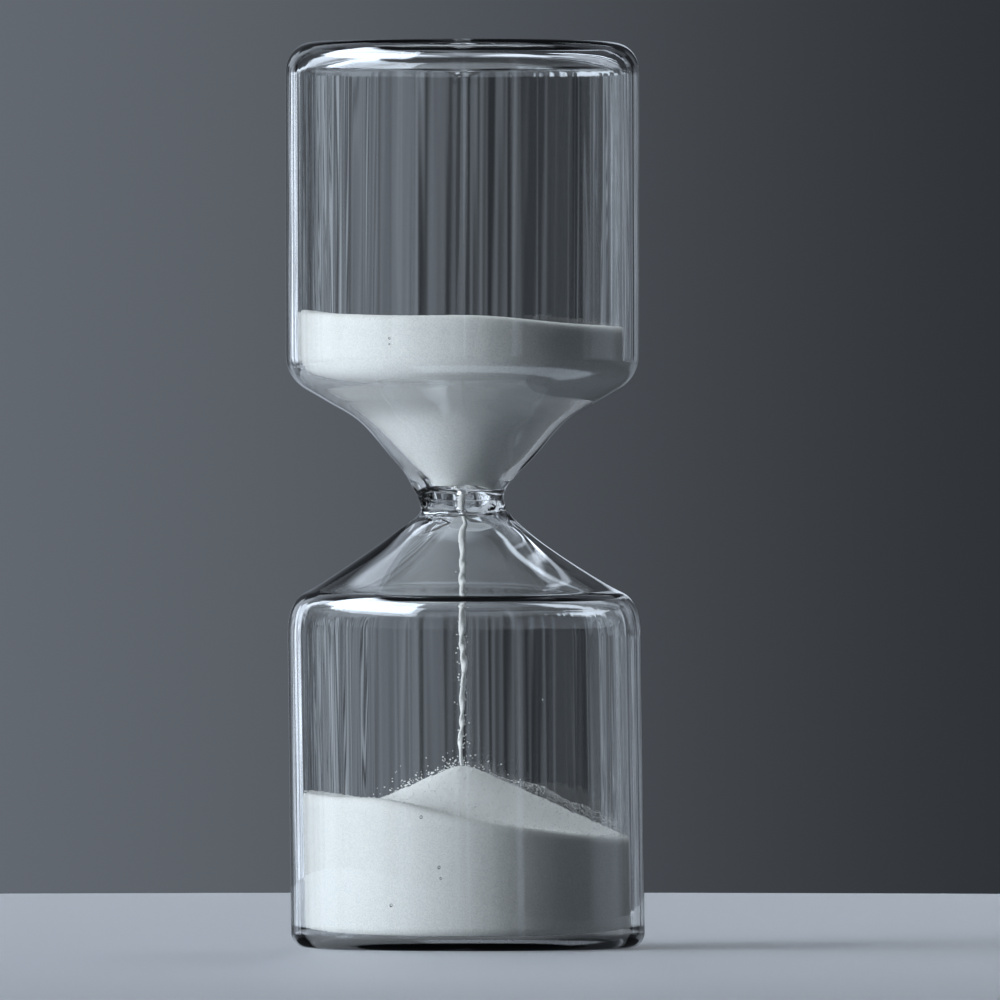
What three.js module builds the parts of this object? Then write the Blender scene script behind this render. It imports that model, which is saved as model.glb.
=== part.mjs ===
// A frameless sandglass: two straight-walled glass bulbs joined by a narrow waist, part way through its run.
// Millimetres, +Z up, origin on the table under the middle of the whole glass.
// Every glass section is a band of one shared outer contour and one shared inner contour, so neighbours
// meet ring to ring. Contours are (radius, height) points about the bulbs' axis.
import * as THREE from "three";

// Driving dimensions
const HEIGHT = 160;
const OUTER_R = 31.25; // both barrels
const WALL = 2.15; // both barrels
const WAIST_Z = 79;
const WAIST_R = 7.35;
const BORE_R = 0.6; // sets the running time
const BORE_HALF_LENGTH = 1.6;
const PLUG_FACE_R = 4.6; // the thick glass around the bore: two shallow cones that face the bulbs
const PLUG_FACE_RISE = 2.5; // from the waist to the outer edge of either cone
const PLUG_EDGE_RISE = 2.8; // from the waist to where the bulbs' own walls begin
const UPPER_SHOULDER_WALL = 1.7;
const LOWER_SHOULDER_WALL = 2.3;
const TOP_CORNER_R = 5; // outside, at the closed top
const BASE_CORNER_R = 2.7; // outside, at the base
const FLOOR_Z = 1.8; // inside of the base
const FLOOR_CORNER_R = 2.3; // inside, at the base
const CROWN_R = 19; // the flat ring of the top starts here; inside it the top is dished
const DISH_DEPTH = 1.6;
const DISH_MID_R = 11.4; // the dish is steepest outside this ring
const DISH_MID_DEPTH = 1.2;
const CEILING_DROP = 2.7; // the ceiling's edge lies this far under the top
const CEILING_SAG = 2.6; // and its middle this much lower still
const CEILING_MID_R = 11.4;
const CEILING_MID_SAG = 1.5;
const CEILING_CORNER_R = 3.2; // inside, at the closed top
const SEAL_R = 2.4; // the filling hole, melted shut by the seal
const SEAL_GAP = 0.3; // between the seal and the glass around it
const SEAL_FLANGE_R = 3.6; // the seal's drop, where it spreads under the ceiling
const SEAL_DROP = 1.1;
const SEAL_TIP_R = 2.2; // the drop's rounded lower edge
const SEAL_TIP_DROP = 0.9;
const SIDE_STEP = 1; // the lower bulb leans: its base stands this far to the +X side of the waist

// Seams between the glass sections
const BASE_SEAM_Z = 6;
const LOWER_BARREL_TOP_Z = 55;
const WAIST_BOTTOM_Z = 74.5;
const WAIST_TOP_Z = 83.5;
const UPPER_BARREL_Z = 105;
const TOP_SEAM_Z = 154.5;

// Sand
const SAND_GAP = 0.3; // between a heap and the glass
const UPPER_LEVEL = 111; // mean height of the upper heap's top
const UPPER_TILT = 0.045; // its fall towards +X, mm per mm
const CRATER_DEPTH = 3; // where it drains
const CRATER_R = 15;
const LOWER_LEVEL = 23; // mean height of the bedded sand in the lower bulb
const LOWER_TILT = 0.146; // its fall towards +X
const PEAK_Z = 32.1; // the new cone's tip
const CONE_SLOPE = 0.477; // angle of repose, 25.5 degrees
const CREST_BLEND = 0.6; // rounds the line where the cone meets the bed
const STREAM_TOP_R = 0.5; // at the bore
const STREAM_TIP_R = 0.3; // the stream thins as it speeds up
const STREAM_TOP_RISE = 2; // from the waist to the stream's top, in the bore's upper mouth
const STREAM_FREE_DROP = 3; // from the waist to where it starts to thin
const UPPER_FOOT_RISE = 2; // from the waist to the upper heap's foot
const UPPER_RINGS = 6; // rings of points across each heap's top
const LOWER_RINGS = 7;

const SEGMENTS = 40; // around the axis
const INNER_R = OUTER_R - WALL;

const glass = (name) =>
  new THREE.MeshStandardMaterial({
    name,
    color: 0xe4ecee,
    roughness: 0.03,
    metalness: 0,
    transparent: true,
    opacity: 0.35,
  });
const sand = (name, color) => new THREE.MeshStandardMaterial({ name, color, roughness: 0.95, metalness: 0 });

const point = (r, z) => new THREE.Vector2(r, z);

const CORNER_STEPS = 4;
// A quarter-round between two straight runs of a contour, from one angle to another (degrees).
function corner(r, z, radius, from, to) {
  return Array.from({ length: CORNER_STEPS + 1 }, (_, i) => {
    const a = THREE.MathUtils.degToRad(THREE.MathUtils.lerp(from, to, i / CORNER_STEPS));
    return point(r + radius * Math.cos(a), z + radius * Math.sin(a));
  });
}

// A contour point given by its height above the waist.
const fromWaist = (r, rise) => point(r, WAIST_Z + rise);

// The outside of each neck, from below upwards: a drawn-out flare between the waist and a rounded shoulder.
const upperShoulder = { foot: fromWaist(27.65, 19.6), corner: fromWaist(OUTER_R, 21.7) };
const lowerShoulder = { corner: fromWaist(OUTER_R, -18.1), foot: fromWaist(28.2, -16.4) };
const upperNeck = new THREE.Path()
  .moveTo(WAIST_R, WAIST_Z)
  .splineThru([
    fromWaist(8.1, 2.65),
    fromWaist(12.9, 7.95),
    fromWaist(18.2, 13.9),
    fromWaist(24, 17.5),
    upperShoulder.foot,
  ])
  .quadraticCurveTo(...upperShoulder.corner, OUTER_R, UPPER_BARREL_Z);
const lowerNeck = new THREE.Path()
  .moveTo(OUTER_R, LOWER_BARREL_TOP_Z)
  .quadraticCurveTo(...lowerShoulder.corner, ...lowerShoulder.foot)
  .splineThru([
    fromWaist(24.5, -14.3),
    fromWaist(15, -7.95),
    fromWaist(10.9, -4.8),
    fromWaist(8.3, -2.4),
    point(WAIST_R, WAIST_Z),
  ]);

const NECK_STEPS = 12;
const steps = (curve) => Array.from({ length: NECK_STEPS + 1 }, (_, i) => curve.getPoint(i / NECK_STEPS));

// The inside of a neck: its outside moved in by the wall, which changes evenly from below upwards.
function inset(curve, wallStart, wallEnd) {
  return steps(curve).map((out, i) => {
    const t = i / NECK_STEPS;
    const along = curve.getTangent(t);
    const wall = THREE.MathUtils.lerp(wallStart, wallEnd, t);
    return point(out.x - along.y * wall, out.y + along.x * wall);
  });
}

const outerContour = [
  point(0, 0),
  ...corner(OUTER_R - BASE_CORNER_R, BASE_CORNER_R, BASE_CORNER_R, -90, 0),
  ...steps(lowerNeck),
  ...steps(upperNeck).slice(1),
  ...corner(OUTER_R - TOP_CORNER_R, HEIGHT - TOP_CORNER_R, TOP_CORNER_R, 0, 90),
  point(CROWN_R, HEIGHT),
  point(DISH_MID_R, HEIGHT - DISH_MID_DEPTH),
  point(SEAL_R, HEIGHT - DISH_DEPTH),
];
const CEILING_Z = HEIGHT - CEILING_DROP;
const innerContour = [
  point(0, FLOOR_Z),
  ...corner(INNER_R - FLOOR_CORNER_R, FLOOR_Z + FLOOR_CORNER_R, FLOOR_CORNER_R, -90, 0),
  ...inset(lowerNeck, WALL, LOWER_SHOULDER_WALL).filter((p) => p.y < WAIST_Z - PLUG_EDGE_RISE),
  fromWaist(PLUG_FACE_R, -PLUG_FACE_RISE),
  fromWaist(BORE_R, -BORE_HALF_LENGTH),
  fromWaist(BORE_R, BORE_HALF_LENGTH),
  fromWaist(PLUG_FACE_R, PLUG_FACE_RISE),
  ...inset(upperNeck, UPPER_SHOULDER_WALL, WALL).filter((p) => p.y > WAIST_Z + PLUG_EDGE_RISE),
  ...corner(INNER_R - CEILING_CORNER_R, CEILING_Z - CEILING_CORNER_R, CEILING_CORNER_R, 0, 90),
  point(CEILING_MID_R, CEILING_Z - CEILING_MID_SAG),
  point(SEAL_R, CEILING_Z - CEILING_SAG),
];

// The stretch of a contour from its first crossing of height z0 to its first crossing of z1.
function stretch(contour, z0, z1) {
  const crossing = (z) => {
    const i = contour.findIndex((p) => p.y > z);
    const [a, b] = [contour[i - 1], contour[i]];
    return { i, at: a.clone().lerp(b, (z - a.y) / (b.y - a.y)) };
  };
  const start = z0 === undefined ? { i: 0 } : crossing(z0);
  const end = z1 === undefined ? { i: contour.length } : crossing(z1);
  return [start.at, ...contour.slice(start.i, end.i), end.at].filter(
    (p, i, all) => p && !(all[i - 1] && p.distanceTo(all[i - 1]) < 0.02),
  );
}

// How far the bulbs' axis stands to the +X side at a height: upright above the waist, leaning below it.
const axisX = (z) => SIDE_STEP * (0.5 - Math.min(z / WAIST_Z, 1));

// Revolves a profile about +Z and moves its points with the leaning axis. A profile runs upwards on the
// outside. A heap's top is its last points, whose heights come from heightAt; a plumb piece doesn't lean.
function revolve(name, profile, material, { top, plumb = false } = {}) {
  const geometry = new THREE.LatheGeometry(profile, SEGMENTS).rotateX(Math.PI / 2);
  geometry.deleteAttribute("normal");
  geometry.deleteAttribute("uv");
  const place = geometry.getAttribute("position");
  for (let i = 0; i < place.count; i++) {
    const [x, y, z] = [place.getX(i), place.getY(i), place.getZ(i)];
    if (top && i % profile.length >= profile.length - top.count) {
      const worldX = x + axisX(top.level);
      place.setXYZ(i, worldX, y, top.heightAt(worldX, y));
    } else {
      place.setX(i, x + axisX(plumb ? WAIST_Z : z));
    }
  }
  geometry.computeVertexNormals();
  const mesh = new THREE.Mesh(geometry, material);
  mesh.name = name;
  return mesh;
}

// A ring of glass between two heights: up the outside, back down the inside.
function glassBand(name, z0, z1) {
  const outside = stretch(outerContour, z0, z1);
  const inside = stretch(innerContour, z0, z1).reverse();
  const profile = [...outside, ...inside];
  const onAxis = profile[0].x === 0;
  return revolve(name, onAxis ? profile : [...profile, profile[0].clone()], glass(name));
}

// The bead that closes the filling hole: a plug in the hole, with a drop under the ceiling.
function fillSeal() {
  const top = HEIGHT - DISH_DEPTH;
  const under = CEILING_Z - CEILING_SAG - SEAL_GAP;
  return revolve(
    "fill_seal",
    [
      point(0, under - SEAL_DROP),
      point(SEAL_TIP_R, under - SEAL_TIP_DROP),
      point(SEAL_FLANGE_R, under),
      point(SEAL_R - SEAL_GAP, under),
      point(SEAL_R - SEAL_GAP, top),
      point(0, top),
    ],
    glass("fill_seal"),
  );
}

const insetSand = (p) => point(Math.max(p.x - SAND_GAP, 0), p.y + SAND_GAP);
const radii = (from, count) => Array.from({ length: count }, (_, i) => from * (1 - (i + 1) / count));

// Upper heap: fills the funnel to just above the shoulder, with a shallow crater over the bore.
const upperTop = (x, y) => {
  const drained = Math.max(0, 1 - Math.hypot(x - axisX(WAIST_Z), y) / CRATER_R);
  return UPPER_LEVEL - UPPER_TILT * x - CRATER_DEPTH * drained ** 2 * (3 - 2 * drained);
};
// Lower heap: bedded sand that slopes to one side, with a fresh cone growing on it under the stream.
const lowerTop = (x, y) => {
  const bed = LOWER_LEVEL - LOWER_TILT * x;
  const cone = PEAK_Z - CONE_SLOPE * Math.hypot(x - axisX(WAIST_Z), y);
  const gap = (cone - bed) / 2;
  return (cone + bed) / 2 + Math.hypot(gap, CREST_BLEND);
};

function heap(name, walls, rings, level, heightAt, color) {
  const rim = INNER_R - SAND_GAP;
  const surface = [rim, ...radii(rim, rings)].map((r) => point(r, level));
  const top = { count: surface.length, level, heightAt };
  return revolve(name, [...walls, ...surface], sand(name, color), { top });
}

function upperSand() {
  const walls = stretch(innerContour, WAIST_Z + UPPER_FOOT_RISE, UPPER_BARREL_Z).map(insetSand);
  const foot = point(0, walls[0].y);
  return heap("upper_sand", [foot, ...walls], UPPER_RINGS, UPPER_LEVEL, upperTop, 0xe6eaec);
}

function lowerSand() {
  const walls = stretch(innerContour, undefined, BASE_SEAM_Z).map(insetSand);
  return heap("lower_sand", walls, LOWER_RINGS, LOWER_LEVEL, lowerTop, 0xf0f3f4);
}

// The thread of falling sand, from inside the bore to just above the cone's tip.
function fallingStream() {
  const tip = lowerTop(axisX(WAIST_Z), 0) + SAND_GAP;
  const top = WAIST_Z + STREAM_TOP_RISE;
  const profile = [
    point(0, tip),
    point(STREAM_TIP_R, tip),
    point(STREAM_TOP_R, WAIST_Z - STREAM_FREE_DROP),
    point(STREAM_TOP_R, top),
    point(0, top),
  ];
  return revolve("falling_stream", profile, sand("falling_stream", 0xf4f6f7), { plumb: true });
}

const hourglass = new THREE.Group();
hourglass.add(
  glassBand("base_disc", undefined, BASE_SEAM_Z),
  glassBand("lower_barrel", BASE_SEAM_Z, LOWER_BARREL_TOP_Z),
  glassBand("lower_shoulder", LOWER_BARREL_TOP_Z, WAIST_BOTTOM_Z),
  glassBand("waist", WAIST_BOTTOM_Z, WAIST_TOP_Z),
  glassBand("upper_shoulder", WAIST_TOP_Z, UPPER_BARREL_Z),
  glassBand("upper_barrel", UPPER_BARREL_Z, TOP_SEAM_Z),
  glassBand("top_disc", TOP_SEAM_Z, undefined),
  fillSeal(),
  upperSand(),
  lowerSand(),
  fallingStream(),
);

export default hourglass;
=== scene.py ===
"""The looks of a frameless sandglass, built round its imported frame.

Shapes are worked out in millimetres, in the frame's own axes, and turned into metres when a mesh is made.
The glass is one envelope: an outer and an inner contour turned about the bulbs' axis, with the faint waves
of drawn tube, cut into one closed piece for each glass section of the frame.
"""

import math

import bmesh
import bpy
import numpy as np
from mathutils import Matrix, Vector, noise


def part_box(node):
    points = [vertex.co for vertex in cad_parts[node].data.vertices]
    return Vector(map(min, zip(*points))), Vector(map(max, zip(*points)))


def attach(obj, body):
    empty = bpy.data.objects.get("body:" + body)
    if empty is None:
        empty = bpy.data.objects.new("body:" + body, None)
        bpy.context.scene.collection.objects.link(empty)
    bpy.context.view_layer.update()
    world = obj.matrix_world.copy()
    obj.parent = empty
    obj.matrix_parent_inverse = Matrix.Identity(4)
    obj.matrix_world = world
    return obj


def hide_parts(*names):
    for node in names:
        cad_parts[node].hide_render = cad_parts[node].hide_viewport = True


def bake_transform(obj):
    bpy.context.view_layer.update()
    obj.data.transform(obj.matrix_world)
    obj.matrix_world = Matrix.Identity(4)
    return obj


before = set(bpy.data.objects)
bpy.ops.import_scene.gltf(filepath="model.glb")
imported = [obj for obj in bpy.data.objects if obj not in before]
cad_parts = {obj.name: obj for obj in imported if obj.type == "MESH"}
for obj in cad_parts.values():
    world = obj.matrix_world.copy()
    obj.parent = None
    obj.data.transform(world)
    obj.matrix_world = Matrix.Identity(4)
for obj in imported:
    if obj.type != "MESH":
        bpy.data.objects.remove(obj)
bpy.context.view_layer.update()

MM = 0.001


def span(node):
    """Lowest and highest corner of a frame node, in millimetres."""
    low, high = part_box(node)
    return np.array(low) / MM, np.array(high) / MM


# ---------------------------------------------------------------- driving dimensions, millimetres
HEIGHT = span("top_disc")[1][2]
WAVE_ROOM = 0.04  # what the waves may stand out by
OUTER_R = (span("upper_barrel")[1][1] - span("upper_barrel")[0][1]) / 2 - WAVE_ROOM
AXIS_X = (span("upper_barrel")[1][0] + span("upper_barrel")[0][0]) / 2
WAIST_Z = (span("waist")[1][2] + span("waist")[0][2]) / 2
SEAM_NODES = ("base_disc", "lower_barrel", "lower_shoulder", "waist", "upper_shoulder", "upper_barrel")
SEAMS = [span(node)[1][2] for node in SEAM_NODES]  # where each ends and the next begins
SIDE_STEP = 1.0  # how far the leaning lower bulb's foot stands to the +X side of the waist
WALL = 2.15
INNER_R = OUTER_R - WALL
WAIST_R = 7.35
BORE_R = 0.6
SEAL_R = 2.4

SEGMENTS = 720  # round the glass
MAX_STEP = 1.3  # along a contour
MAX_TURN = 0.07  # radians between two rows of a contour
CALM_SIDE = 0.25  # how much of the back's waviness the front of the tube has

FOOT_R = 2.7  # outside, at the base
BRIM_R = 5.0  # outside, at the closed top
FLOOR_Z = 1.8
FLOOR_R = 2.3  # inside, at the base
CEILING_Z = HEIGHT - 2.7
CEILING_R = 3.2  # inside, at the closed top
PLUG_FACE = 2.8  # from the waist to the edge of either thick cone round the bore
SHOULDER_WALLS = (2.3, 1.7)  # lower, upper


def soft_step(t):
    """0 below 0, 1 above 1, and smooth between."""
    t = np.clip(t, 0, 1)
    return t * t * (3 - 2 * t)


def axis_x(z):
    """Where the bulbs' axis stands at a height: upright above the waist, leaning below it."""
    return AXIS_X + SIDE_STEP * (1 - np.minimum(np.asarray(z, float) / WAIST_Z, 1))


# ---------------------------------------------------------------- contours
def quadratic(a, b, c, count=24):
    """A quadratic curve from a to c, pulled towards b."""
    t = np.linspace(0, 1, count)[:, None]
    return (1 - t) ** 2 * np.array(a) + 2 * t * (1 - t) * np.array(b) + t**2 * np.array(c)


def arc(centre, radius, start, end, count=24):
    """Points on a circle between two angles in degrees."""
    a = np.radians(np.linspace(start, end, count))
    return np.column_stack([centre[0] + radius * np.cos(a), centre[1] + radius * np.sin(a)])


def spline(points, per_span=16):
    """A uniform Catmull-Rom curve through the points, with its end points doubled."""
    p = np.array(points, float)
    p = np.vstack([p[:1], p, p[-1:]])
    t = np.linspace(0, 1, per_span, endpoint=False)[:, None]
    parts = []
    for a, b, c, d in zip(p[:-3], p[1:-2], p[2:-1], p[3:]):
        m, n = (c - a) / 2, (d - b) / 2
        parts.append(b * (2 * t**3 - 3 * t**2 + 1) + c * (3 * t**2 - 2 * t**3)
                     + m * (t**3 - 2 * t**2 + t) + n * (t**3 - t**2))
    return np.vstack([*parts, p[-1:]])


def rounded(points, reach):
    """A polyline whose inner corners are rounded, each starting up to reach away from its corner."""
    p = np.array(points, float)
    parts = [p[:1]]
    for a, b, c in zip(p[:-2], p[1:-1], p[2:]):
        back = min(reach, np.linalg.norm(a - b) * 0.48)
        on = min(reach, np.linalg.norm(c - b) * 0.48)
        start = b + (a - b) / np.linalg.norm(a - b) * back
        end = b + (c - b) / np.linalg.norm(c - b) * on
        parts.append(quadratic(start, b, end, 10))
    return np.vstack([*parts, p[-1:]])


def tangents(path):
    """Unit direction at each point of a path."""
    d = np.gradient(path, axis=0)
    return d / np.maximum(np.linalg.norm(d, axis=1, keepdims=True), 1e-9)


def inset(path, wall_start, wall_end):
    """The path moved to its left by a wall that changes evenly along it."""
    t = tangents(path)
    wall = np.linspace(wall_start, wall_end, len(path))[:, None]
    return path + np.column_stack([-t[:, 1], t[:, 0]]) * wall


def even(path, max_step=MAX_STEP, max_turn=MAX_TURN):
    """The path with rows no further apart than max_step, and closer where it bends."""
    keep = np.r_[True, np.linalg.norm(np.diff(path, axis=0), axis=1) > 1e-4]
    path = path[keep]
    length = np.linalg.norm(np.diff(path, axis=0), axis=1)
    along = np.r_[0, np.cumsum(length)]
    fine = np.linspace(0, along[-1], int(along[-1] / 0.04) + 2)
    path = np.column_stack([np.interp(fine, along, path[:, k]) for k in (0, 1)])
    t = tangents(path)
    smooth = np.ones(9) / 9
    t = np.column_stack([np.convolve(np.pad(t[:, k], 4, "edge"), smooth, "valid") for k in (0, 1)])
    turn = np.linalg.norm(np.diff(t, axis=0), axis=1)
    effort = np.r_[0, np.cumsum(np.linalg.norm(np.diff(path, axis=0), axis=1) / max_step + turn / max_turn)]
    wanted = np.linspace(0, effort[-1], math.ceil(effort[-1]) + 1)
    return np.column_stack([np.interp(wanted, effort, path[:, k]) for k in (0, 1)])


def snap(path, heights):
    """The path with its nearest row moved onto its crossing of each height."""
    path = path.copy()
    for z in heights:
        i = int(np.argmax((path[:-1, 1] <= z) & (path[1:, 1] > z)))
        share = (z - path[i, 1]) / (path[i + 1, 1] - path[i, 1])
        row = i if share < 0.5 and i > 0 else i + 1
        path[row] = path[i] + (path[i + 1] - path[i]) * share
    return path


def from_waist(r, rise):
    return (r, WAIST_Z + rise)


LOWER_NECK = np.vstack([
    quadratic((OUTER_R, SEAMS[1]), from_waist(OUTER_R, -18.1), from_waist(28.2, -16.4)),
    spline([from_waist(28.2, -16.4), from_waist(24.5, -14.3), from_waist(15, -7.95), from_waist(10.9, -4.8),
            from_waist(8.3, -2.4), from_waist(WAIST_R, 0)])[1:],
])
UPPER_NECK = np.vstack([
    spline([from_waist(WAIST_R, 0), from_waist(8.1, 2.65), from_waist(12.9, 7.95), from_waist(18.2, 13.9),
            from_waist(24, 17.5), from_waist(27.65, 19.6)]),
    quadratic(from_waist(27.65, 19.6), from_waist(OUTER_R, 21.7), (OUTER_R, SEAMS[4]))[1:],
])


def outer_contour():
    """The outside, from the middle of the base up to the middle of the dished top."""
    base = rounded([(0, 0.35), (15, 0.3), (25.5, 0.0), (OUTER_R - FOOT_R, 0.0)], 3)
    top = rounded([(OUTER_R - BRIM_R, HEIGHT), (19, HEIGHT), (11.4, HEIGHT - 1.2), (SEAL_R, HEIGHT - 1.6),
                   (1.2, HEIGHT - 1.75), (0, HEIGHT - 1.9)], 3)
    return np.vstack([
        base,
        arc((OUTER_R - FOOT_R, FOOT_R), FOOT_R, -90, 0)[1:],
        LOWER_NECK, UPPER_NECK[1:],
        arc((OUTER_R - BRIM_R, HEIGHT - BRIM_R), BRIM_R, 0, 90), top[1:],
    ])


def inner_contour():
    """The inside, from the middle of the floor through the bore up to the middle of the ceiling."""
    low = inset(LOWER_NECK, WALL, SHOULDER_WALLS[0])
    high = inset(UPPER_NECK, SHOULDER_WALLS[1], WALL)
    low = low[low[:, 1] < WAIST_Z - PLUG_FACE]
    high = high[high[:, 1] > WAIST_Z + PLUG_FACE]
    plug = rounded([low[-1], from_waist(4.6, -2.5), from_waist(BORE_R, -1.6), from_waist(BORE_R, 1.6),
                    from_waist(4.6, 2.5), high[0]], 1.0)
    sag = ((20, 0.6), (12, 1.5), (6, 2.2), (3.4, 2.45), (SEAL_R, 2.9), (1.2, 3.6), (0, 3.7))
    return np.vstack([
        [(0, FLOOR_Z)],
        arc((INNER_R - FLOOR_R, FLOOR_Z + FLOOR_R), FLOOR_R, -90, 0),
        low, plug[1:-1], high,
        arc((INNER_R - CEILING_R, CEILING_Z - CEILING_R), CEILING_R, 0, 90),
        rounded([(r, CEILING_Z - drop) for r, drop in sag], 0.8),
    ])


# ---------------------------------------------------------------- the waves of drawn glass
# Families of waves: fewest and most round the tube, how many, slope.
WAVES = ((2, 7, 5, 0.006), (9, 34, 16, 0.020), (36, 130, 34, 0.038))
# Families of dents: reach from the waist, greatest depth, how many, width.
DENTS = ((4, 0.9, 24, 1), (17, 0.26, 18, 1), (3.4, 0.22, 44, 0.35))


def waves(strength, seed):
    """Cosines round the axis for one surface: count, size, phase, fade phase and fade length of each."""
    random = np.random.default_rng(seed)
    found = []
    for low, high, how_many, slope in WAVES:
        for count in random.integers(low, high, how_many):
            size = strength * slope * OUTER_R / count * random.uniform(0.3, 1.3) / math.sqrt(how_many)
            found.append((count, size, *random.uniform(0, 2 * math.pi, 2), random.uniform(25, 90)))
    return found


def dents(r, z, angles, seed):
    """Shallow swellings and hollows where the glass was worked hot: the waist and both necks."""
    random = np.random.default_rng(seed + 100)
    push = np.zeros((len(r), len(angles)))
    for reach, size, how_many, narrow in DENTS:
        for _ in range(how_many):
            at_z = WAIST_Z + random.uniform(-reach, reach)
            at_angle = random.uniform(0, 2 * math.pi)
            tall = random.uniform(0.25, 0.5) * reach
            wide = random.uniform(0.35, 0.8) * narrow
            turn = (angles - at_angle + math.pi) % (2 * math.pi) - math.pi
            near_waist = np.exp(-((z - at_z) / tall) ** 2)
            push += random.uniform(-size, size) * near_waist * np.exp(-(turn / wide) ** 2)
    return push * np.clip((r - 1) / 4, 0, 1) * (np.abs(z - WAIST_Z) < 24)


def wavy_grid(contour, strength, seed):
    """Points of a contour turned about the axis, pushed along its normal by the surface's waves."""
    angles = np.linspace(0, 2 * math.pi, SEGMENTS, endpoint=False)
    r, z = contour[:, :1], contour[:, 1:]
    push = np.zeros((len(contour), SEGMENTS))
    for count, size, phase, fade_phase, fade in waves(strength, seed):
        level = 1 + 0.35 * np.sin(z / fade + fade_phase)
        push += size * level * np.cos(count * angles + phase + z * 0.0004 * count)
    t = tangents(contour)
    push *= np.abs(t[:, 1:]) ** 8 * (CALM_SIDE + (1 - CALM_SIDE) * soft_step(np.sin(angles) + 0.5))
    push += dents(r, z, angles, seed)
    radius = r + push * t[:, 1:]
    height = z - push * t[:, :1]
    x = radius * np.cos(angles) + axis_x(height)
    return np.stack([x, radius * np.sin(angles), height], axis=2)


def grid_normals(grid):
    """Smooth normals of a grid of rows along a contour and columns round the axis, facing away from it."""
    up = np.gradient(grid, axis=0)
    around = np.roll(grid, -1, axis=1) - np.roll(grid, 1, axis=1)
    n = np.cross(around, up)
    size = np.linalg.norm(n, axis=2, keepdims=True)
    return n / np.maximum(size, 1e-12)


# ---------------------------------------------------------------- meshes
def quads_between(a, b):
    """Faces between two closed rows of vertex numbers."""
    return np.stack([a, np.roll(a, -1), np.roll(b, -1), b], axis=1)


def make_piece(name, points, faces, materials, face_materials=None, flat=None, normals=None):
    """A mesh object from points in millimetres. normals gives one for each corner of each face."""
    mesh = bpy.data.meshes.new(name)
    mesh.from_pydata((np.asarray(points) * MM).tolist(), [], [list(map(int, f)) for f in faces])
    for material in materials:
        mesh.materials.append(material)
    smooth = np.ones(len(faces), bool)
    if flat is not None:
        smooth[flat] = False
    mesh.polygons.foreach_set("use_smooth", smooth)
    if face_materials is not None:
        mesh.polygons.foreach_set("material_index", np.asarray(face_materials, np.int32))
    mesh.update()
    if normals is not None:
        mesh.normals_split_custom_set(normals.tolist())
    piece = bpy.data.objects.new(name, mesh)
    bpy.context.scene.collection.objects.link(piece)
    return piece


class Envelope:
    """The whole glass as two grids, outside and inside, with their normals."""

    def __init__(self):
        self.outer = snap(even(outer_contour()), SEAMS)
        self.inner = snap(even(inner_contour()), SEAMS)
        self.outer_points = wavy_grid(self.outer, 0.7, 11)
        self.inner_points = wavy_grid(self.inner, 1.0, 23)
        self.outer_normals = grid_normals(self.outer_points)
        self.inner_normals = -grid_normals(self.inner_points)

    @staticmethod
    def row_at(contour, height):
        """The row at a seam, leaving out the middle of the base and of the top."""
        return int(np.argmin(np.abs(contour[:, 1] - height) + (contour[:, 0] < SEAL_R) * 99))

    def rows(self, low, high):
        """Row ranges of both grids between two seam heights.

        Without a low seam they start in the middle of the base, and without a high one they end at the seal.
        """
        found = []
        for contour in (self.outer, self.inner):
            start = 0 if low is None else self.row_at(contour, low)
            if high is None:
                past = np.flatnonzero((contour[:, 0] < SEAL_R + 0.5) & (contour[:, 1] > WAIST_Z + 40))
                end = int(past[0])
            else:
                end = self.row_at(contour, high)
            found.append((start, end))
        return found


def bubble(x, z, radius):
    """An air bubble in the front of a barrel's wall: points, normals that face its middle, and triangles."""
    ball = bmesh.new()
    bmesh.ops.create_icosphere(ball, subdivisions=3, radius=1)
    ball.verts.index_update()
    away = np.array([v.co[:] for v in ball.verts])
    faces = np.array([[v.index for v in f.verts] for f in ball.faces])[:, ::-1]
    ball.free()
    depth = math.sqrt((OUTER_R - WALL / 2) ** 2 - (x - float(axis_x(z))) ** 2)
    return np.array([x, -depth, z]) + away * radius * (1, 1, BUBBLE_STRETCH), -away, faces


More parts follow.
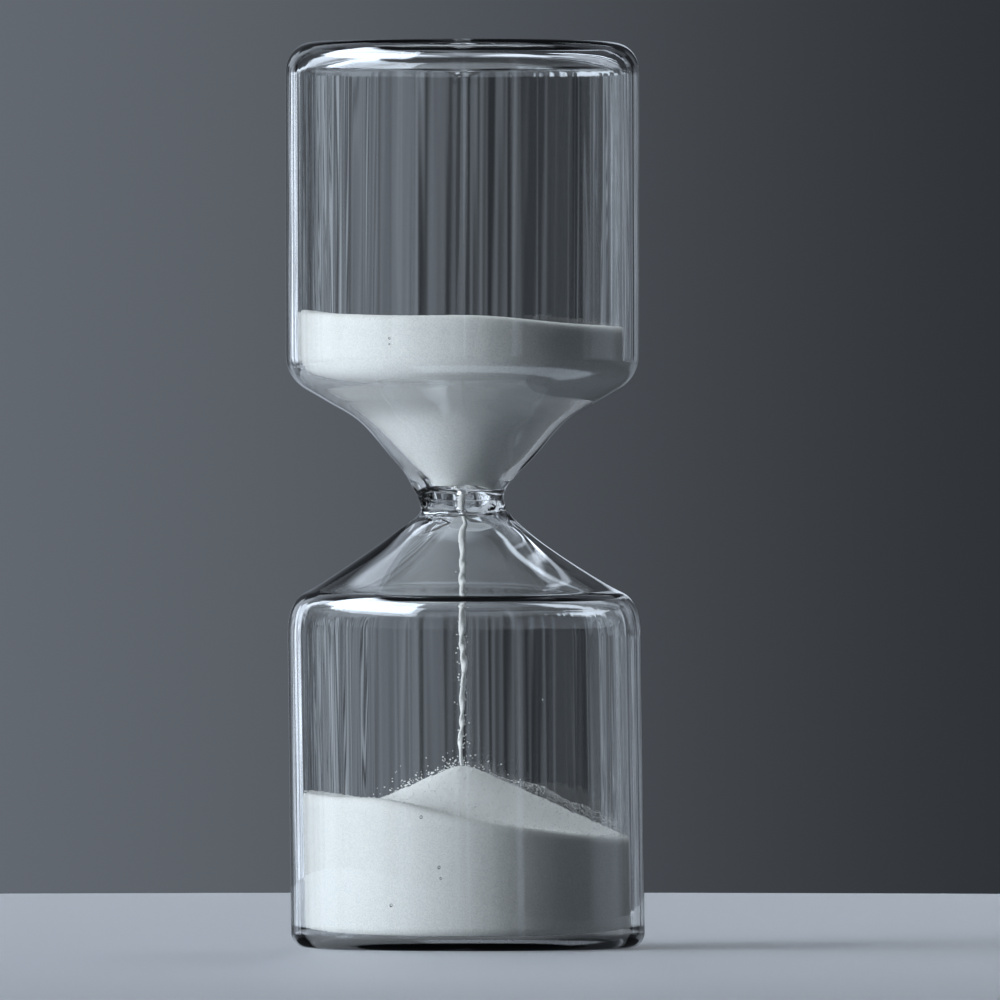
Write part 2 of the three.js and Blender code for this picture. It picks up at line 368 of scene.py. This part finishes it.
class Shell:
    """One closed piece of glass while it is put together from points, normals and blocks of faces."""

    def __init__(self):
        self.points, self.normals, self.faces, self.is_cut = [], [], [], []

    def add_points(self, points, normals):
        """Takes points with their normals, and gives the number of the first."""
        first = sum(len(p) for p in self.points)
        self.points.append(points)
        self.normals.append(normals)
        return first

    def add_faces(self, faces, is_cut=False):
        self.faces.append(faces)
        self.is_cut.append(np.full(len(faces), is_cut))

    def add_grid(self, points, normals, start, end, inside):
        """Takes rows start to end of a grid, whose first and last rows are poles, and gives their numbers."""
        rows = slice(start, end + 1)
        first = self.add_points(points[rows].reshape(-1, 3), normals[rows].reshape(-1, 3))
        ids = first + np.arange((end + 1 - start) * SEGMENTS).reshape(-1, SEGMENTS)
        blocks = [quads_between(a, b) for a, b in zip(ids[:-1], ids[1:])]
        if start == 0:
            blocks[0] = np.stack([np.full(SEGMENTS, ids[0, 0]), np.roll(ids[1], -1), ids[1]], axis=1)
        if end == len(points) - 1:
            blocks[-1] = np.stack([ids[-2], np.roll(ids[-2], -1), np.full(SEGMENTS, ids[-1, 0])], axis=1)
        for block in blocks:
            self.add_faces(block[:, ::-1] if inside else block)
        return ids

    def finish(self, name):
        """Drops unused copies of the poles, and makes the mesh with its corner normals."""
        points, normals = np.vstack(self.points), np.vstack(self.normals)
        used = np.unique(np.concatenate([block.ravel() for block in self.faces]))
        number = np.full(len(points), -1)
        number[used] = np.arange(len(used))
        points, normals = points[used], normals[used]
        faces = [face for block in self.faces for face in number[block].tolist()]
        is_cut = np.concatenate(self.is_cut)
        corner_normals = []
        for face, flat in zip(faces, is_cut):
            corner_normals.extend([face_normal(*points[face[:3]])] * len(face) if flat else normals[face])
        return make_piece(name, points, faces, [GLASS, SEAM], is_cut, np.flatnonzero(is_cut),
                          np.array(corner_normals))


def face_normal(a, b, c):
    n = np.cross(b - a, c - a)
    return n / max(np.linalg.norm(n), 1e-12)


def section(name, envelope, ranges, bubbles=()):
    """One closed piece of glass: its band outside, its band inside, and clear faces where it was cut."""
    shell = Shell()
    (outer_start, outer_end), (inner_start, inner_end) = ranges
    outer = shell.add_grid(envelope.outer_points, envelope.outer_normals, outer_start, outer_end, False)
    inner = shell.add_grid(envelope.inner_points, envelope.inner_normals, inner_start, inner_end, True)
    if outer_start > 0:
        shell.add_faces(quads_between(inner[0], outer[0]), is_cut=True)
    if outer_end < len(envelope.outer) - 1:
        shell.add_faces(quads_between(outer[-1], inner[-1]), is_cut=True)
    for x, z, radius in bubbles:
        points, normals, faces = bubble(x, z, radius)
        shell.add_faces(faces + shell.add_points(points, normals))
    return shell.finish(name)


# ---------------------------------------------------------------- materials
def principled(name, colour, roughness, **sockets):
    """A Principled material with plain values on its own sockets."""
    material = bpy.data.materials.new(name)
    material.use_nodes = True
    shader = material.node_tree.nodes["Principled BSDF"]
    shader.inputs["Base Color"].default_value = (*colour, 1)
    shader.inputs["Roughness"].default_value = roughness
    for socket, value in sockets.items():
        shader.inputs[socket.replace("_", " ")].default_value = value
    return material


GLASS = principled("glass", (0.985, 0.995, 0.992), 0.0, Transmission_Weight=1.0, IOR=1.473)
SEAM = principled("glass_seam", (1, 1, 1), 0.0, Alpha=0.0)


def sand_material(name, dark, light):
    """Matt sand that lets some light through, with the colour and the relief of single grains."""
    material = principled(name, light, 0.9, Subsurface_Weight=0.45, Subsurface_Scale=0.0014,
                          Subsurface_Radius=(1.0, 1.0, 1.0))
    nodes, links = material.node_tree.nodes, material.node_tree.links
    shader = nodes["Principled BSDF"]
    place = nodes.new("ShaderNodeTexCoord")
    grains = nodes.new("ShaderNodeTexNoise")
    grains.inputs["Scale"].default_value = 3800
    grains.inputs["Detail"].default_value = 3
    ramp = nodes.new("ShaderNodeValToRGB")
    ramp.color_ramp.elements[0].position = 0.33
    ramp.color_ramp.elements[0].color = (*dark, 1)
    ramp.color_ramp.elements[1].position = 0.62
    ramp.color_ramp.elements[1].color = (*light, 1)
    bump = nodes.new("ShaderNodeBump")
    bump.inputs["Strength"].default_value = 0.5
    bump.inputs["Distance"].default_value = 0.0001
    links.new(place.outputs["Object"], grains.inputs["Vector"])
    links.new(grains.outputs["Fac"], ramp.inputs["Fac"])
    links.new(ramp.outputs["Color"], shader.inputs["Base Color"])
    links.new(grains.outputs["Fac"], bump.inputs["Height"])
    links.new(bump.outputs["Normal"], shader.inputs["Normal"])
    return material


SAND = sand_material("quartz_sand", (0.76, 0.81, 0.84), (0.90, 0.94, 0.96))


# ---------------------------------------------------------------- the glass
BUBBLES = {  # by section: x, z and radius of each
    "lower_barrel": ((-7.6, 23.5, 0.27), (-4.5, 14.7, 0.27), (-4.2, 12.8, 0.22), (-12.8, 8.0, 0.27),
                     (13.5, 44.0, 0.2)),
    "upper_barrel": ((-13.1, 107.4, 0.2), (-13.1, 106.4, 0.17), (-15.2, 139.0, 0.2)),
}
BUBBLE_STRETCH = 1.2


def build_glass(envelope):
    """The seven sections from seam to seam, and the seal in the middle of the top."""
    edges = [None, *SEAMS, None]
    for node, low, high in zip((*SEAM_NODES, "top_disc"), edges[:-1], edges[1:]):
        piece = section(node + "_glass", envelope, envelope.rows(low, high), BUBBLES.get(node, ()))
        attach_glass(piece, node)
    ends = envelope.rows(None, None)
    last = (len(envelope.outer) - 1, len(envelope.inner) - 1)
    seal = section("fill_seal_glass", envelope, [(ends[0][1], last[0]), (ends[1][1], last[1])])
    attach_glass(seal, "fill_seal")


def attach_glass(piece, node):
    """Clear glass casts no shadow here, because the renderer would darken the sand behind it."""
    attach(piece, "glass")
    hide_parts(node)
    piece.visible_shadow = False


# ---------------------------------------------------------------- the sand
SAND_GAP = 0.1
WALL_STRETCH = 14  # how far down its wall a heap is stretched to meet its sloping top
RIM_ROUND = 1.3  # the rounded edge between a heap's wall and its top
LUMPS = 0.05  # unevenness of a heap's top

UPPER_LEVEL, UPPER_TILT = 110.8, 0.045
CRATER_R, CRATER_DEPTH = 15, 3  # where the upper heap drains
LOWER_LEVEL, LOWER_TILT = 23.2, 0.155
PEAK_Z, CONE_SLOPE, PEAK_ROUND = 32.1, 0.46, 1.6
CREASE_ROUND = 0.5  # where the fresh cone meets the bed
UPPER_WALL = (WAIST_Z + 1.7, 110.5)  # heights between which a heap's wall follows the glass
LOWER_WALL = (0, 23)


def mound(x, y, at_x, at_y, spread):
    """A round swelling of height 1."""
    return np.exp(-((x - at_x) ** 2 + (y - at_y) ** 2) / spread)


def upper_level(x, y):
    """Height of the upper heap's top."""
    drained = soft_step(1 - np.hypot(x - AXIS_X, y) / CRATER_R)
    ripple = 0.7 * mound(x, y, -31, -4, 40) + 0.7 * mound(x, y, 3, -26, 120)
    return UPPER_LEVEL - UPPER_TILT * x + ripple - CRATER_DEPTH * drained


def lower_level(x, y):
    """Height of the lower heap's top: its bed or its cone, whichever is higher."""
    bed = LOWER_LEVEL - LOWER_TILT * x + 1.2 * mound(x, y, -13, -24, 90)
    cone = PEAK_Z - CONE_SLOPE * (np.hypot(np.hypot(x - AXIS_X, y), PEAK_ROUND) - PEAK_ROUND)
    return (cone + bed) / 2 + np.hypot((cone - bed) / 2, CREASE_ROUND)


def turned(rows, low_pole, high_pole):
    """Points and faces of a closed body: rows round an axis, from its low pole to its high one."""
    count = rows.shape[1]
    ids = 1 + np.arange(rows.shape[0] * count).reshape(-1, count)
    last = rows.shape[0] * count + 1
    faces = [[0, int(b), int(a)] for a, b in zip(ids[0], np.roll(ids[0], -1))]
    for a, b in zip(ids[:-1], ids[1:]):
        faces.extend(quads_between(a, b).tolist())
    faces.extend([[int(a), int(b), last] for a, b in zip(ids[-1], np.roll(ids[-1], -1))])
    return np.vstack([[low_pole], rows.reshape(-1, 3), [high_pole]]), faces


def roughness(points, size):
    """Smooth noise between -1 and 1 at each point, with lumps of about size."""
    flat = (points / size).reshape(-1, 3).tolist()
    return np.array([noise.noise(p) for p in flat]).reshape(points.shape[:-1])


def sand_wall(envelope, low, high):
    """Rows of the glass's inner face between two heights, moved SAND_GAP into the bulb."""
    z = envelope.inner[:, 1]
    chosen = (z < high) & (z > low) & (envelope.inner[:, 0] > 0.5)
    return envelope.inner_points[chosen, ::2] + envelope.inner_normals[chosen, ::2] * SAND_GAP


def heap(name, wall, level):
    """A closed heap: its wall follows the glass, and its top follows level(x, y)."""
    wall = wall.copy()
    top_z = wall[-1, :, 2].mean()
    rim_z = level(wall[-1, :, 0], wall[-1, :, 1]) - RIM_ROUND
    wall[:, :, 2] += soft_step((wall[:, :, 2] - top_z) / WALL_STRETCH + 1) * (rim_z - top_z)
    centre = wall[-1, :, :2].mean(axis=0)
    inward = np.linspace(1, 0, 141)[1:-1, None, None]
    flat = centre + (wall[-1, :, :2] - centre) * inward
    to_round = np.clip(1 - (1 - inward[..., 0]) * INNER_R / RIM_ROUND, 0, 1)
    drop = RIM_ROUND * (1 - np.sqrt(1 - to_round**2))
    top = np.concatenate([flat, (level(flat[..., 0], flat[..., 1]) - drop)[..., None]], axis=2)
    top[..., 2] += LUMPS * (roughness(top, 0.9) + 0.7 * roughness(top + 31, 0.45))
    low_pole = (*wall[0, :, :2].mean(axis=0), wall[0, :, 2].mean())
    points, faces = turned(np.concatenate([wall, top]), low_pole, (*centre, float(level(*centre))))
    return make_piece(name, points, faces, [SAND])


def build_sand(envelope):
    """Both heaps. Their lower walls stay with the glass, and their tops move with the levels."""
    lower = heap("lower_sand_heap", sand_wall(envelope, *LOWER_WALL), lower_level)
    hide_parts("lower_sand")
    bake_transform(lower)
    upper = heap("upper_sand_heap", sand_wall(envelope, *UPPER_WALL), upper_level)
    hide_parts("upper_sand")
    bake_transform(upper)


STREAM_SIDES, STREAM_ROWS = 20, 640
STREAM_TOP = 81  # in the bore
FALL_START, FALL_LENGTH = 80, 48  # where the thread starts to thin out and sway, and how far it goes on


def stream_rings(z):
    """The thread's rings: two strands that twist round each other, thinner as they fall."""
    fall = np.clip((FALL_START - z) / FALL_LENGTH, 0, 1)
    sway = fall * (1.3 - 0.5 * fall)
    x = AXIS_X + sway * (0.34 * np.sin(z / 3.7 + 1) + 0.17 * np.sin(z / 1.5) + 0.05 * np.sin(z / 0.6))
    y = sway * (0.25 * np.sin(z / 4.3) + 0.16 * np.sin(z / 1.1 + 2))
    angles = np.linspace(0, 2 * math.pi, STREAM_SIDES, endpoint=False)
    ring = np.stack(np.broadcast_arrays(np.cos(angles), np.sin(angles), z), axis=2)
    thick = np.clip(0.62 - 0.24 * fall, 0, BORE_R - 0.05) + 0.10 * fall * roughness(ring * (0, 0, 1), 1.4)
    strands = 1 + np.clip(fall * 3, 0, 1) * 0.26 * np.cos(2 * (angles - z * 0.7 - np.sin(z / 2.1)))
    r = thick * strands * (1 + 0.16 * roughness(ring * (0.6, 0.6, 1), 0.3))
    return np.stack(np.broadcast_arrays(x + r * ring[..., 0], y + r * ring[..., 1], z), axis=2)


def build_stream():
    """The falling thread, from the bore down to the tip of the lower heap's cone."""
    tip = float(lower_level(AXIS_X, 0.0)) + 0.1
    rings = stream_rings(np.linspace(STREAM_TOP, tip, STREAM_ROWS)[:, None])[::-1]
    points, faces = turned(rings, rings[0].mean(axis=0), rings[-1].mean(axis=0))
    stream = make_piece("sand_stream", points, faces, [SAND])
    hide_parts("falling_stream")
    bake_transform(stream)


def icosahedron():
    """Corners on a sphere of radius 1, and faces that look outwards."""
    golden = (1 + math.sqrt(5)) / 2
    corners = [(0, s, t * golden) for s in (-1, 1) for t in (-1, 1)]
    corners = np.array([p[k:] + p[:k] for p in corners for k in range(3)]) / math.hypot(1, golden)
    edge = 2 / math.hypot(1, golden)
    near = np.abs(np.linalg.norm(corners[:, None] - corners, axis=2) - edge) < 0.01
    faces = [(a, b, c) for a in range(12) for b in range(12) for c in range(12)
             if a < b and a < c and near[a, b] and near[b, c] and near[a, c]
             and np.linalg.det(corners[[a, b, c]]) > 0]
    return corners, np.array(faces)


def grains(name, places, sizes, random):
    """Loose grains: a small uneven stone at each place."""
    corners, hull = icosahedron()
    uneven = random.uniform(0.6, 1.2, (len(places), len(corners), 1))
    points = places[:, None] + corners * uneven * sizes[:, None, None] / 2
    faces = (hull[None] + len(corners) * np.arange(len(places))[:, None, None]).reshape(-1, 3)
    piece = make_piece(name, points.reshape(-1, 3), faces.tolist(), [SAND], flat=np.arange(len(faces)))
    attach(piece, "lower_heap")


LYING, BOUNCING, STRAY, CLINGING = 5200, 170, 130, 3600  # grains of each kind
LYING_Z = 25  # about where the lying grains are
CLING_LOWEST = 17  # dust below this height is hidden by the heap


def lying_grains(random):
    """Places and sizes of grains that lie on the lower heap."""
    r = (INNER_R - 0.5) * np.sqrt(random.uniform(0, 1, LYING))
    turn = random.uniform(0, 2 * math.pi, LYING)
    x, y = r * np.cos(turn) + float(axis_x(LYING_Z)), r * np.sin(turn)
    size = random.uniform(0.10, 0.26, LYING)
    return np.column_stack([x, y, lower_level(x, y) + size * 0.25]), size


def flying_grains(random):
    """Places of grains that bounce off the heap on the left of its peak, and that stray from the stream."""
    spread = random.normal(0, 1, (BOUNCING, 2)) * (5.0, 2.5) + (AXIS_X - 4, 0)
    height = np.minimum(random.exponential(0.9, BOUNCING) + 0.2, 4.2)
    fall = random.uniform(33, 66, STRAY)
    stray = random.normal(0, 0.45, (STRAY, 2)) + (AXIS_X, 0)
    return np.vstack([np.column_stack([spread, lower_level(*spread.T) + height]),
                      np.column_stack([stray, fall])])


def clinging_grains(random):
    """Places of the dust on the glass behind the crest, thinner towards its curved upper edge."""
    x = random.uniform(4, 28.3, CLINGING)
    back = np.sqrt((INNER_R - 0.2) ** 2 - (x - AXIS_X) ** 2)
    edge = 31.2 - 0.13 * x - 0.0078 * x * x + 0.3 * np.sin(x * 0.6)
    dust = np.column_stack([x, back, edge - random.exponential(1.3, CLINGING)])
    return dust[dust[:, 2] > CLING_LOWEST]


def build_grains():
    """Loose grains on and over the lower heap, and dust on the glass. All move with the heap's top."""
    random = np.random.default_rng(5)
    lying, lying_sizes = lying_grains(random)
    flying = flying_grains(random)
    sizes = np.concatenate([lying_sizes, random.uniform(0.14, 0.36, len(flying))])
    grains("loose_grains", np.vstack([lying, flying]), sizes, random)
    dust = clinging_grains(random)
    grains("clinging_grains", dust, random.uniform(0.05, 0.11, len(dust)), random)


# ---------------------------------------------------------------- stage
CAMERA_DISTANCE = 3400
VIEW_WIDTH = 176.7  # what the picture spans at the axis
CENTRE = (6.13, 0, 79.06)  # what the camera looks at
TABLE_R, TABLE_EDGE, TABLE_DEPTH = 480, 6, 20
LIGHT_CENTRE = (0, 0, 0.08)  # metres: what the lights stand around


def build_camera():
    """Level with the waist and far away, as in the photo."""
    data = bpy.data.cameras.new("camera")
    data.sensor_width = 36
    data.lens = data.sensor_width * CAMERA_DISTANCE / VIEW_WIDTH
    camera = bpy.data.objects.new("camera", data)
    camera.location = (CENTRE[0] * MM, -CAMERA_DISTANCE * MM, CENTRE[2] * MM)
    camera.rotation_euler = (math.radians(90), 0, 0)
    bpy.context.scene.collection.objects.link(camera)
    bpy.context.scene.camera = camera


def build_floor():
    """A pale round table top. Nothing reflects it, because its far edge would be a line in the glass."""
    angles = np.linspace(0, 2 * math.pi, 128, endpoint=False)
    edge = arc((TABLE_R - TABLE_EDGE, -TABLE_EDGE), TABLE_EDGE, 0, 90, 6)
    underside = [(TABLE_R - TABLE_EDGE, -TABLE_DEPTH), (TABLE_R, 2 - TABLE_DEPTH)]
    profile = np.array([*underside, *edge, (200, 0), (60, 0)])
    r, z = profile[:, :1], profile[:, 1:]
    rows = np.stack(np.broadcast_arrays(r * np.cos(angles), r * np.sin(angles), z), axis=2)
    points, faces = turned(rows, (0, 0, -TABLE_DEPTH), (0, 0, 0))
    floor = make_piece("floor", points, faces, [principled("pale_floor", (0.42, 0.44, 0.47), 0.45)])
    floor.visible_glossy = False


def area_light(name, azimuth, elevation, distance, width, height, power, colour):
    """A soft light that reaches matt surfaces straight through the glass. Azimuth 0 is the camera's side."""
    data = bpy.data.lights.new(name, "AREA")
    data.shape = "RECTANGLE"
    data.size, data.size_y = width, height
    data.energy = power
    data.color = colour
    data.cycles.use_multiple_importance_sampling = False
    light = bpy.data.objects.new(name, data)
    a, e = math.radians(azimuth), math.radians(elevation)
    away = np.array([math.sin(a) * math.cos(e), -math.cos(a) * math.cos(e), math.sin(e)])
    light.location = away * distance + LIGHT_CENTRE
    light.rotation_euler = Vector(away).to_track_quat("Z", "Y").to_euler()
    light.visible_camera = False
    light.visible_glossy = False
    light.visible_transmission = False
    bpy.context.scene.collection.objects.link(light)


# Soft windows beside and before the glass: azimuth from and to (0 is the camera's side), elevation from
# and to, softness of the upright edges, brightness.
WINDOWS = (
    (-47, -37, -8, 24, 1.2, 0.35),
    (-87, -56, -8, 24, 1.5, 0.35),
    (-112, -95, -8, 24, 2.0, 0.4),
    (-122, -38, 30, 58, 3.0, 22.0),
    (93, 122, -8, 45, 4.0, 0.35),
    (33, 38, -8, 50, 1.0, 0.7),
    (0.4, 1.8, -8, 50, 0.3, 0.7),
    (-35, 115, -54, -32, 8.0, 2.5),
    (-8, -4, -8, 60, 1.5, 0.3),
)
WINDOW_SOFT = 3.0  # degrees, at a window's upper and lower edges
# Rows of brightness behind the glass: elevation from and to, then (degrees to the right, brightness).
BEHIND = (
    (-11, -4, ((-60, 0.05), (-30, 0.1), (-20, 0.3), (-10, 0.5), (-2, 0.3), (0, 0.05), (5, 0.08), (8, 0.3),
               (30, 0.3), (34, 0.05), (60, 0.05))),
    (-4, 4, ((-60, 0.05), (-40, 0.05), (-37, 0.7), (-34, 1.1), (-29, 1.1), (-26, 0.7), (-23, 0.45),
             (-21, 0.22), (-17, 0.2), (-15, 0.06), (-13, 0.0), (-11, 0.05), (-9, 0.24), (-6, 0.2), (-3, 0.04),
             (-1.5, 0.0), (5, 0.0), (8, 0.13), (13, 0.13), (16, 0.2), (23, 0.2), (27, 0.25), (30, 0.04),
             (33, 0.1), (37, 0.25), (42, 0.3), (45, 0.05), (60, 0.05))),
    (4, 17, ((-60, 0.05), (-40, 0.05), (-37, 0.5), (-31, 1.1), (-21, 1.1), (-19, 0.12), (-12, 0.06),
             (-8, 0.12), (-4, 0.25), (-1, 0.05), (2, 0.05), (3.5, 0.9), (7, 0.9), (8.5, 0.02), (14, 0.02),
             (18, 0.12), (24, 0.3), (26, 0.04), (34, 0.04), (37, 0.6), (42, 1.0), (45, 0.05), (60, 0.05))),
    (17, 26, ((-60, 0.05), (-40, 0.1), (-36, 0.5), (-32, 1.3), (-27, 1.3), (-25, 0.08), (-16, 0.04),
              (-9, 0.04), (-6, 0.4), (-4, 0.3), (-1, 0.04), (18, 0.02), (25, 0.05), (30, 0.3), (36, 0.3),
              (40, 0.05), (60, 0.05))),
    (26, 46, ((-60, 0.2), (-43, 0.3), (-36, 0.85), (-22, 1.2), (-20, 0.5), (-18, 0.0), (19.5, 0.0),
              (20.2, 1.8), (21.4, 1.8), (22, 0.0), (24.4, 0.0), (25, 1.3), (26, 1.3), (26.8, 0.1),
              (31, 0.5), (40, 0.4), (60, 0.1))),
    (46, 57, ((-60, 0.9), (-24, 1.0), (-21, 0.02), (30, 0.02), (33, 0.7), (42, 0.7), (46, 0.1), (60, 0.1))),
    (57, 84, ((-60, 0.9), (-26, 0.9), (-22, 0.2), (-14, 0.1), (12, 0.16), (18, 0.45), (24, 0.95), (60, 0.9))),
)
BEHIND_SOFT = 1.5  # degrees, at a row's upper and lower edges
RAMP_SPAN = 60  # degrees to either side that a row of BEHIND covers
RAMP_TOP = 3  # brightness that a colour ramp's white stands for
REACH_SOFT = 6  # degrees, at both ends of the rows
SLAT_ROW = (-4, 4)  # elevations at which fine slats stripe the rows
SLAT_RATE, SLAT_CONTRAST = 4.6, 0.8  # radians of their wave to a degree, and its size

OVERHEAD = 0.15  # brightness straight above
EVERYWHERE = 0.02
BACKDROP_DARK, BACKDROP_LIGHT = 0.012, 0.13  # the backdrop's right side, and what its left side has more
STUDIO_TINT = (0.80, 0.90, 1.04)


class Formula:
    """Works out a value in a tree of shader nodes."""

    def __init__(self, tree):
        self.nodes, self.links = tree.nodes, tree.links

    def calc(self, operation, *values):
        node = self.nodes.new("ShaderNodeMath")
        node.operation = operation
        for socket, value in zip(node.inputs, values):
            if isinstance(value, (int, float)):
                socket.default_value = value
            else:
                self.links.new(value, socket)
        return node.outputs[0]

    def chain(self, operation, first, *others):
        for value in others:
            first = self.calc(operation, first, value)
        return first

    def product(self, *values):
        return self.chain("MULTIPLY", *values)

    def total(self, *values):
        return self.chain("ADD", *values)

    def ramp(self, value, start, end):
        """0 at start, 1 at end, and smooth between."""
        node = self.nodes.new("ShaderNodeMapRange")
        node.interpolation_type = "SMOOTHSTEP"
        self.links.new(value, node.inputs["Value"])
        node.inputs["From Min"].default_value = start
        node.inputs["From Max"].default_value = end
        return node.outputs["Result"]

    def band(self, value, low, high, soft):
        """1 from low to high and 0 outside, with edges softened to either side."""
        rise = self.ramp(value, low - soft, low + soft)
        fall = self.ramp(value, high - soft, high + soft)
        return self.product(rise, self.calc("SUBTRACT", 1.0, fall))

    def by_degrees(self, value, table):
        """Brightness from a table of (degrees, brightness). Value runs from 0 to 1 across its span."""
        node = self.nodes.new("ShaderNodeValToRGB")
        stops = node.color_ramp.elements
        while len(stops) < len(table):
            stops.new(1.0)
        for stop, (degrees, brightness) in zip(stops, table):
            stop.position = (degrees + RAMP_SPAN) / (2 * RAMP_SPAN)
            stop.color = (*[brightness / RAMP_TOP] * 3, 1)
        self.links.new(value, node.inputs["Fac"])
        return self.product(node.outputs["Color"], RAMP_TOP)


def window_terms(sky, azimuth, elevation):
    """Brightness of each soft window."""
    terms = []
    for az0, az1, el0, el1, soft, strength in WINDOWS:
        upright, level = sky.band(azimuth, az0, az1, soft), sky.band(elevation, el0, el1, WINDOW_SOFT)
        terms.append(sky.product(upright, level, strength))
    return terms


def behind_terms(sky, right, elevation):
    """Brightness of each row behind the glass, with slats in the level one."""
    along = sky.total(sky.calc("DIVIDE", right, 2 * RAMP_SPAN), 0.5)
    in_reach = sky.product(sky.ramp(right, -RAMP_SPAN - REACH_SOFT, -RAMP_SPAN + REACH_SOFT),
                           sky.ramp(right, RAMP_SPAN + REACH_SOFT, RAMP_SPAN - REACH_SOFT))
    slats = sky.total(1.0, sky.product(sky.calc("SINE", sky.product(right, SLAT_RATE)), SLAT_CONTRAST))
    level = sky.band(elevation, *SLAT_ROW, BEHIND_SOFT)
    slats = sky.total(sky.product(slats, level), sky.calc("SUBTRACT", 1.0, level))
    in_reach = sky.product(in_reach, slats)
    return [sky.product(sky.by_degrees(along, table), sky.band(elevation, low, high, BEHIND_SOFT), in_reach)
            for low, high, table in BEHIND]


def backdrop(sky, x, y, right):
    """The plain backdrop that the camera sees, paler on the left."""
    left = sky.product(sky.ramp(x, 0.034, -0.036), sky.ramp(right, -4.5, -2), BACKDROP_LIGHT)
    return sky.total(EVERYWHERE, sky.product(sky.total(left, BACKDROP_DARK), sky.ramp(y, -0.4, 0.9)))


def build_world():
    """A dim studio with soft windows that only the glass shows: they don't light matt surfaces."""
    world = bpy.data.worlds.new("studio")
    bpy.context.scene.world = world
    world.use_nodes = True
    world.cycles.sampling_method = "NONE"
    sky = Formula(world.node_tree)
    split = sky.nodes.new("ShaderNodeSeparateXYZ")
    sky.links.new(sky.nodes.new("ShaderNodeTexCoord").outputs["Generated"], split.inputs[0])
    x, y, z = split.outputs
    azimuth = sky.calc("DEGREES", sky.calc("ARCTAN2", x, sky.product(y, -1.0)))
    elevation = sky.calc("DEGREES", sky.calc("ARCSINE", z))
    right = sky.calc("DEGREES", sky.calc("ARCTAN2", x, y))
    overhead = sky.product(sky.ramp(elevation, 52, 62), OVERHEAD)
    soft_windows = [*window_terms(sky, azimuth, elevation), *behind_terms(sky, right, elevation)]
    in_glass = sky.total(overhead, *soft_windows)
    seen = sky.calc("LESS_THAN", sky.nodes.new("ShaderNodeLightPath").outputs["Diffuse Depth"], 0.5)
    background = sky.nodes["Background"]
    background.inputs["Color"].default_value = (*STUDIO_TINT, 1)
    strength = sky.total(sky.product(in_glass, seen), backdrop(sky, x, y, right))
    sky.links.new(strength, background.inputs["Strength"])


def build_lights():
    """The main light from the left, a rim from behind, a faint fill from the right and a soft top."""
    area_light("window", -66, 8, 1.6, 0.8, 0.8, 27, (0.93, 0.97, 1.0))
    area_light("back_window", 168, 52, 1.6, 1.0, 1.0, 15, (0.93, 0.97, 1.0))
    area_light("far_window", 115, 12, 1.8, 0.8, 0.9, 0.4, (0.9, 0.96, 1.0))
    area_light("ceiling", -40, 76, 1.6, 1.4, 1.4, 3.6, (0.95, 0.98, 1.0))


envelope = Envelope()
build_glass(envelope)
build_sand(envelope)
build_stream()
build_grains()
build_camera()
build_floor()
build_world()
build_lights()
bpy.context.scene.view_settings.view_transform = "Standard"
